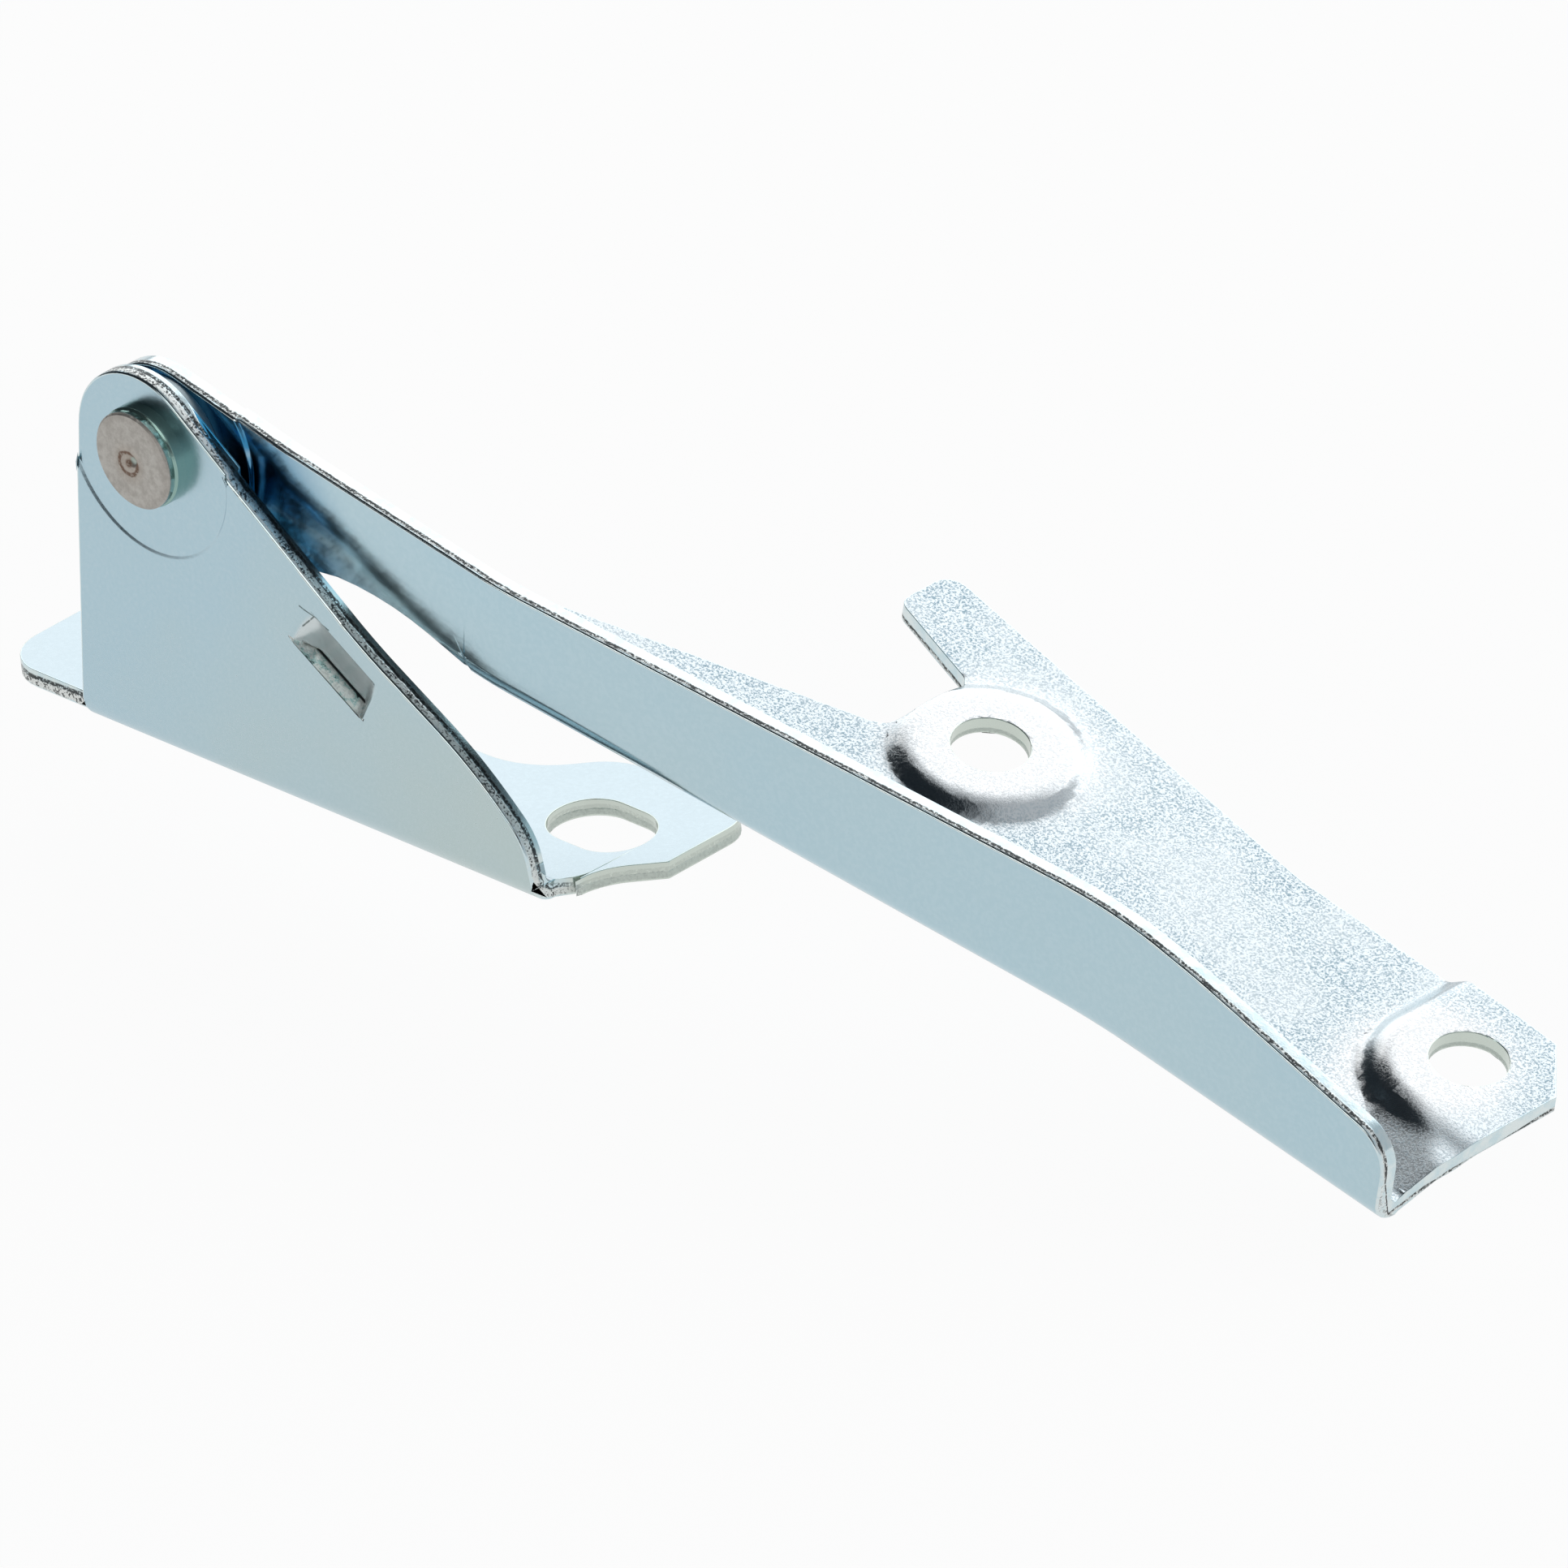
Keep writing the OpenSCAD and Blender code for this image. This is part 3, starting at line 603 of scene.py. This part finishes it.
# %% Telling the faces of a sheet apart
SKIN_SLOT, EDGE_SLOT = 0, 1
NEAR_SKIN, NEAR_BACK = 0.25 * MM, 1.7 * MM
FLANGE_START = 24 * MM
OUTER_PAD_START = 160 * MM
INNER_PAD_SPAN = (84 * MM, 119 * MM)


def is_flat_flange(face):
    """A face of the arm's flange that lies flat is never a cut one."""
    middle = FRAME_TO_ARM @ face.calc_center_median()
    turned = FRAME_TO_ARM.to_3x3() @ face.normal
    return middle.x > 60 * MM and middle.y > FLANGE_START and abs(turned.z) > 0.6


def is_cut(face, tree):
    if is_flat_flange(face):
        return False
    depths = [depth_of(tree, vert.co) for vert in face.verts]
    return min(depths) < NEAR_SKIN and max(depths) > NEAR_BACK


def is_stop_wall(face):
    """The wall that the shears left along the stop's line."""
    middle = stop_place(face.calc_center_median())
    return in_hollow(middle) and middle.z < -0.1 * MM and abs(face.normal.y) < 0.1


def in_drawn_pad(point):
    """Whether a point lies in a part of the flange that is drawn by height, without creases."""
    place = FRAME_TO_ARM @ point
    inner = INNER_PAD_SPAN[0] < place.x < INNER_PAD_SPAN[1]
    return place.y > FLANGE_START and (place.x > OUTER_PAD_START or inner)


# %% Working the corners of a sheet
CREASE_LEAST, CREASE_MOST = 19, 70
CORNER_LEAST = 0.7


def work_sheet(piece, tree, skin, edge, draw, roll, lip):
    """Gives the cut faces their own slot, then rounds creases, outer corners and far lips."""
    piece.data.materials.append(skin)
    piece.data.materials.append(edge)
    pick_faces(piece, lambda face: is_cut(face, tree) or is_stop_wall(face))
    piece.active_material_index = EDGE_SLOT
    bpy.ops.object.material_slot_assign()

    def is_crease(e):
        both_skin = all(face.material_index == SKIN_SLOT for face in e.link_faces)
        if not both_skin or in_drawn_pad((e.verts[0].co + e.verts[1].co) / 2):
            return False
        return CREASE_LEAST < math.degrees(e.calc_face_angle()) < CREASE_MOST

    def is_corner(e, outside):
        kinds = {face.material_index for face in e.link_faces}
        depth = max(depth_of(tree, vert.co) for vert in e.verts)
        sharp = e.calc_face_angle() > CORNER_LEAST
        return len(kinds) == 2 and (depth < 0.5 * SHEET) == outside and sharp

    creases = pick_edges(piece, is_crease)
    bevel(draw, 4, SKIN_SLOT)
    rolled = pick_edges(piece, lambda e: is_corner(e, True))
    bevel(roll, 3, EDGE_SLOT)
    lipped = pick_edges(piece, lambda e: is_corner(e, False))
    bevel(lip, 2, EDGE_SLOT)
    bpy.ops.object.mode_set(mode="OBJECT")
    print(piece.name, "creases", creases, "rolled", rolled, "lip", lipped)


# %% Cutting a sheet into a fine grid where it will be drawn
def cut_grid(piece, inside, lines, to_frame):
    """Cuts the faces inside by planes; a line is one of the three axes and a place on it."""
    turned = to_frame.to_3x3()
    for axis, place in lines:
        pick_faces(piece, inside)
        point = Vector((0, 0, 0))
        point[axis] = place
        bpy.ops.mesh.bisect(
            plane_co=to_frame @ point, plane_no=turned.col[axis], use_fill=False)
    bpy.ops.object.mode_set(mode="OBJECT")
    print(piece.name, "cut by", len(lines), "planes:", len(piece.data.polygons), "faces")


def steps(start, end, step):
    count = int(round((end - start) / step))
    return [start + step * i for i in range(count + 1)]


def soft_step(value, start, end):
    share = min(1.0, max(0.0, (value - start) / (end - start)))
    return share * share * (3 - 2 * share)


# %% Depth of every point as an attribute, and smooth shading
def mark_depth(piece, tree):
    """The wall of the stop starts at the web, so there the depth is the way into the web."""
    attribute = piece.data.attributes.new("depth", "FLOAT", "POINT")
    values = []
    for vert in piece.data.vertices:
        place = stop_place(vert.co)
        in_wall = in_hollow(place) and place.z < 0.3 * MM and piece.name.startswith("bracket")
        values.append(min(1.0, (place.y if in_wall else depth_of(tree, vert.co)) / SHEET))
    attribute.data.foreach_set("value", values)


def smooth(piece, degrees):
    only(piece)
    bpy.ops.object.shade_smooth_by_angle(angle=math.radians(degrees))
    bpy.ops.object.modifier_add(type="WEIGHTED_NORMAL")
    weighted = piece.modifiers[-1]
    weighted.keep_sharp = True
    bpy.ops.object.modifier_apply(modifier=weighted.name)
    print(piece.name, "ends with", len(piece.data.polygons), "faces")


# %% [markdown]
# ## The body bracket
#
# The bracket is one folded sheet. Its outer skin is everything that can be reached from the
# big front face without crossing a sheared corner: the web, the pressed pivot pad, the hollow
# of the stop, the fold and the underside of the foot.
#
# The pressed pad keeps its whole step at the top and little over a quarter of it at the foot.
# Its points are moved before the skin is found, and stay in one plane, so no crease shows.

# %% Bracket
bracket = copy_of("body_bracket", "bracket_sheet")
PAD_RADIUS, PAD_REACH = 13.7 * MM, 14.15 * MM
FOOT_SHARE = 0.28
WHOLE_ABOVE = 11.0 * MM
pad_moved = 0
for vert in bracket.data.vertices:
    above = vert.co.z - PIVOT.z
    on_pad = math.hypot(vert.co.x - PIVOT.x, above) < PAD_REACH
    if on_pad and WEB_FACE + 0.02 * MM < vert.co.y < WEB_FACE + 0.8 * MM:
        climbed = (above + PAD_RADIUS) / (PAD_RADIUS + WHOLE_ABOVE)
        share = FOOT_SHARE + (1 - FOOT_SHARE) * climbed
        vert.co.y = WEB_FACE + (vert.co.y - WEB_FACE) * share
        pad_moved += 1
print("pad points eased:", pad_moved)


def on_front(face):
    return face.normal.y < -0.99 and face.calc_center_median().y < WEB_FACE + 0.1 * MM


bracket_depth = outer_skin(bracket, on_front, 60)

# %% [markdown]
# ## The half-sheared stop
#
# The punch cut the web along one line and pushed the steel above it inward, so the stop is a
# tongue that is deepest at the cut and runs out into the web. The floor of the hollow is cut
# into a fine grid and each point is set to its depth. Then the cut's upper corner is rounded.

# %% The tongue of the stop
STOP_GRID = [(0, u * MM) for u in steps(-7.0, 7.0, 0.5)]
STOP_GRID += [(2, v * MM) for v in steps(0.5, 6.5, 0.5)]
TONGUE_LENGTH = 6.65 * MM
FULL_FROM, FULL_TO = -3.2 * MM, 5.0 * MM
ROUND_SHARE = 0.55
LIP_ROUND = 1.1 * MM


def is_hollow_face(face):
    middle = stop_place(face.calc_center_median())
    return in_hollow(middle) and face.normal.y < -0.3


def tongue_depth(place):
    """Depth below the web: part quarter round and part soft slope, fading to both sides."""
    bulge = math.sqrt(max(0.0, 1.0 - (max(0.0, place.z) / TONGUE_LENGTH) ** 2))
    slope = soft_step(place.z, TONGUE_LENGTH, 0.0)
    left = soft_step(place.x, -STOP_HALF, FULL_FROM)
    right = soft_step(place.x, STOP_HALF, FULL_TO)
    return STOP_DEPTH * (ROUND_SHARE * bulge + (1 - ROUND_SHARE) * slope) * left * right


def on_stop_lip(vert):
    place = stop_place(vert.co)
    level = abs(place.z + STOP_GAP) < 0.02 * MM and abs(place.y) < 0.02 * MM
    return level and abs(place.x) < STOP_HALF + 0.01 * MM


cut_grid(bracket, is_hollow_face, STOP_GRID, STOP)
for vert in bracket.data.vertices:
    place = stop_place(vert.co)
    on_back = abs(place.y - SHEET) < 0.01 * MM and place.z < 0.1 * MM
    if in_hollow(place) and not on_back:
        place.y = tongue_depth(place)
        vert.co = STOP @ place
print("lip edges", pick_edges(bracket, lambda e: all(on_stop_lip(vert) for vert in e.verts)))
bevel(LIP_ROUND, 6)
bpy.ops.object.mode_set(mode="OBJECT")

# %% Working the bracket's corners
work_sheet(
    bracket, bracket_depth, BRACKET_SKIN, BRACKET_EDGE,
    draw=0.12 * MM, roll=0.32 * MM, lip=0.14 * MM)
mark_depth(bracket, bracket_depth)
smooth(bracket, 32)
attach(bracket, "bracket")
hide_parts("body_bracket")

# %% [markdown]
# ## The bonnet arm
#
# The arm is worked the same way. Its outer skin starts at the long web, turns with the fold
# and becomes the underside of the flange.

# %% Arm
arm = copy_of("bonnet_arm", "arm_sheet")
SKIN_TURN = 51.5


def on_web_or_underside(face):
    normal = FRAME_TO_ARM.to_3x3() @ face.normal
    across = (FRAME_TO_ARM @ face.calc_center_median()).y
    web = normal.y < -0.9 and across < 30 * MM and face.calc_area() > 20 * MM * MM
    return web or (normal.z < -0.99 and face.calc_area() > 300 * MM * MM)


arm_depth = outer_skin(arm, on_web_or_underside, SKIN_TURN)

# %% [markdown]
# ## Pads drawn by a die
#
# A die never draws a sharp corner, so the two pads rise in soft slopes. The flange is cut into
# a fine grid where they lie, and both of its sides are set to the same height over the
# underside, so the sheet keeps its thickness. Beside the outer pad a gentle ramp starts at a
# slanting crease. The skin is found again after that, on the moved faces.

# %% The raised pads of the flange
UNDERSIDE = -5.2 * MM
PAD_GRID = [(0, x * MM) for x in steps(85, 118, 1.1) + steps(161, 190, 1.1)]
PAD_GRID += [(1, y * MM) for y in steps(25, 63, 1.1)]
INNER_RISE, INNER_FOOT, INNER_TOP = 1.5 * MM, 13.6 * MM, 9.9 * MM
OUTER_RISE, OUTER_FOOT, OUTER_TOP = 2.5 * MM, 14.2 * MM, 9.8 * MM
CREASE_X, CREASE_Y = 175 * MM, 35 * MM
PAST_X, PAST_Y = 0.568, 0.823
RAMP_SLOPE, RAMP_RISE = 0.31, 2.0 * MM
RAMP_START, RAMP_WHOLE = 170 * MM, 178 * MM


def in_pad(place):
    """Whether a place in the arm's directions lies where the flange is drawn into a pad."""
    flat = -5.6 * MM < place.z < 0.2 * MM
    outer = place.x > OUTER_PAD_START and place.y > 25.4 * MM
    from_hole = math.hypot(place.x - INNER_HOLE.x, place.y - INNER_HOLE.y)
    return flat and (outer or from_hole < 16 * MM)


def near_a_pad(face):
    level = abs((FRAME_TO_ARM.to_3x3() @ face.normal).z) > 0.4
    return level and any(in_pad(FRAME_TO_ARM @ vert.co) for vert in face.verts)


def pad_height(x, y):
    """Height of the drawn sheet over the flange, from a place along and across the arm."""
    inner = math.hypot(x - INNER_HOLE.x, y - INNER_HOLE.y)
    outer = math.hypot(min(0.0, x - OUTER_HOLE.x), min(0.0, y - OUTER_HOLE.y))
    low = INNER_RISE * soft_step(inner, INNER_FOOT, INNER_TOP)
    past_crease = PAST_X * (x - CREASE_X) + PAST_Y * (y - CREASE_Y)
    ramp = min(RAMP_RISE, RAMP_SLOPE * max(0.0, past_crease))
    ramp *= soft_step(x, RAMP_START, RAMP_WHOLE)
    high = ramp + (OUTER_RISE - ramp) * soft_step(outer, OUTER_FOOT, OUTER_TOP)
    return low + high


def draw_pads(piece):
    moved = 0
    for vert in piece.data.vertices:
        place = FRAME_TO_ARM @ vert.co
        if not in_pad(place):
            continue
        top = depth_of(arm_depth, vert.co) > 0.5 * SHEET
        place.z = UNDERSIDE + pad_height(place.x, place.y) + (SHEET if top else 0.0)
        vert.co = ARM_TO_FRAME @ place
        moved += 1
    print(piece.name, "drew", moved, "points into the pads")


cut_grid(arm, near_a_pad, PAD_GRID, ARM_TO_FRAME)
draw_pads(arm)
arm_depth = outer_skin(arm, on_web_or_underside, SKIN_TURN)

# %% Working the arm's corners
work_sheet(
    arm, arm_depth, ARM_SKIN, ARM_EDGE,
    draw=0.2 * MM, roll=0.30 * MM, lip=0.14 * MM)
mark_depth(arm, arm_depth)
smooth(arm, 32)
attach(arm, "arm")
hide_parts("bonnet_arm")

# %% [markdown]
# ## The rivet and the washer as worked pieces
#
# Turned pieces only need their rims broken a little, so that each rim catches a thin light.

# %% Rivet and washer
def work_turned(node, name, finish, rim):
    piece = copy_of(node, name)
    piece.data.materials.append(finish)
    pick_edges(piece, lambda e: e.calc_face_angle() > math.radians(50))
    bevel(rim, 2)
    bpy.ops.object.mode_set(mode="OBJECT")
    smooth(piece, 28)
    return piece


rivet = work_turned("pivot_rivet", "rivet", RIVET_STEEL, 0.06 * MM)
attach(rivet, "bracket")
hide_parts("pivot_rivet")

washer = work_turned("spacer_washer", "washer", WASHER_STEEL, 0.08 * MM)
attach(washer, "bracket")
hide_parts("spacer_washer")

# %% [markdown]
# ## Floor, world and lamps
#
# Bright metal shows its surroundings more than itself. A pale floor fills the lower half of
# what the upright faces mirror. A large soft lamp above and behind lights the flanges, and a
# smaller one in front lights the webs. The world is an even grey that falls to near black high
# on the front left, which gives the metal its dark reflections. The camera doesn't see that
# grey: past the floor it sees a plain pale backdrop.

# %% Floor
FLOOR_Z = cad_low.z - 0.3 * MM
GLOW_TO_CAMERA, GLOW_IN_MIRROR = 0.95, 0.80
bpy.ops.mesh.primitive_plane_add(size=8.0, location=(0.1, 0.0, FLOOR_Z))
floor = bpy.context.view_layer.objects.active
floor.name = "floor"
bpy.ops.object.transform_apply(location=True, rotation=False, scale=True)
paper = Finish("floor paper")
RAYS = ("Is Camera Ray", "Is Glossy Ray", "Is Transmission Ray")
by_camera, by_mirror, by_glass = [paper.node("LightPath", outlet=ray) for ray in RAYS]
seen = (by_camera + by_mirror + by_glass).clamped()
diffuse = paper.node("BsdfDiffuse", None, {"Color": (0.84, 0.84, 0.84)})
glow = paper.node("Emission", None, {"Color": (1.0, 1.0, 1.0), "Strength": 1.0})
glowing = by_camera * GLOW_TO_CAMERA + (1.0 - by_camera) * seen * GLOW_IN_MIRROR
both = paper.node("MixShader", None, {0: glowing, 1: diffuse, 2: glow})
paper.tree.links.new(both.socket, paper.tree.nodes["Material Output"].inputs["Surface"])
floor.data.materials.append(paper.material)
print("floor at", round(FLOOR_Z * 1000, 2), "mm")

# %% World
DARK_SIDE = Vector((-0.45, -0.75, 0.48)).normalized()
GREY_UP_TO, GREY = 0.16, (0.52, 0.55, 0.58, 1.0)
DARK_FROM, DARK = 0.48, (0.015, 0.02, 0.025, 1.0)
world = bpy.data.worlds.new("studio")
bpy.context.scene.world = world
world.use_nodes = True
nodes, links = world.node_tree.nodes, world.node_tree.links
backdrop = nodes["Background"]
backdrop.inputs["Strength"].default_value = 1.0
looking = nodes.new("ShaderNodeTexCoord")
toward_dark = nodes.new("ShaderNodeVectorMath")
toward_dark.operation = "DOT_PRODUCT"
toward_dark.inputs[1].default_value = DARK_SIDE
shade = nodes.new("ShaderNodeValToRGB")
first, last = shade.color_ramp.elements
first.position, first.color = GREY_UP_TO, GREY
last.position, last.color = DARK_FROM, DARK
links.new(looking.outputs["Generated"], toward_dark.inputs[0])
links.new(toward_dark.outputs["Value"], shade.inputs[0])
links.new(shade.outputs[0], backdrop.inputs["Color"])
past_floor = nodes.new("ShaderNodeBackground")
past_floor.inputs["Strength"].default_value = 1.0
ray = nodes.new("ShaderNodeLightPath")
choice = nodes.new("ShaderNodeMixShader")
links.new(ray.outputs["Is Camera Ray"], choice.inputs[0])
links.new(backdrop.outputs[0], choice.inputs[1])
links.new(past_floor.outputs[0], choice.inputs[2])
links.new(choice.outputs[0], nodes["World Output"].inputs["Surface"])
print("world set")

# %% Lamps
AIM = (cad_low + cad_high) / 2


def soft_lamp(name, towards, distance, size, power, colour):
    place = AIM + Vector(towards).normalized() * distance
    bpy.ops.object.light_add(type="AREA", location=place)
    lamp = bpy.context.view_layer.objects.active
    lamp.name = name
    lamp.data.shape = "RECTANGLE"
    lamp.data.size, lamp.data.size_y = size
    lamp.data.energy = power
    lamp.data.color = colour
    lamp.rotation_euler = (AIM - place).to_track_quat("-Z", "Y").to_euler()


soft_lamp(
    "overhead", (-0.36, 0.74, 0.56), distance=1.3, size=(2.2, 1.2), power=8.9,
    colour=(0.98, 0.99, 1.0))
soft_lamp(
    "front", (0.05, -0.86, 0.50), distance=1.5, size=(1.0, 0.7), power=3.6,
    colour=(1.0, 1.0, 0.98))
print("lamps set")

# %% [markdown]
# ## The camera
#
# In the photograph parallel edges stay nearly parallel, as with a long lens far away. The
# camera stands 8 m off for that, and no farther, so that turned views still reach the hinge.
# The directions below are the picture's right, up and toward-the-viewer, in the hinge's frame,
# and the picture is 193.2 mm wide at the hinge.

# %% Camera
RIGHT = Vector((0.6996, 0.7090, -0.0872)).normalized()
TOWARD = RIGHT.cross(Vector((-0.2897, 0.3930, 0.8724))).normalized()
UP = TOWARD.cross(RIGHT)
PIVOT_ON_WEB = Vector((22.0, -17.0, 43.3)) * MM
MIDDLE = PIVOT_ON_WEB + RIGHT * (78.61 * MM) - UP * (40.64 * MM)
DISTANCE = 8.0
PICTURE_WIDTH = 193.2 * MM
SENSOR = 36.0
lens = bpy.data.cameras.new("camera")
lens.sensor_width = SENSOR
lens.lens = SENSOR * DISTANCE / PICTURE_WIDTH
camera = bpy.data.objects.new("camera", lens)
bpy.context.scene.collection.objects.link(camera)
turn = Matrix((RIGHT, UP, TOWARD)).transposed().to_4x4()
camera.matrix_world = Matrix.Translation(MIDDLE + TOWARD * DISTANCE) @ turn
bpy.context.scene.camera = camera
bpy.context.scene.view_settings.view_transform = "Standard"
print("camera looks along", tuple(round(-v, 3) for v in TOWARD))
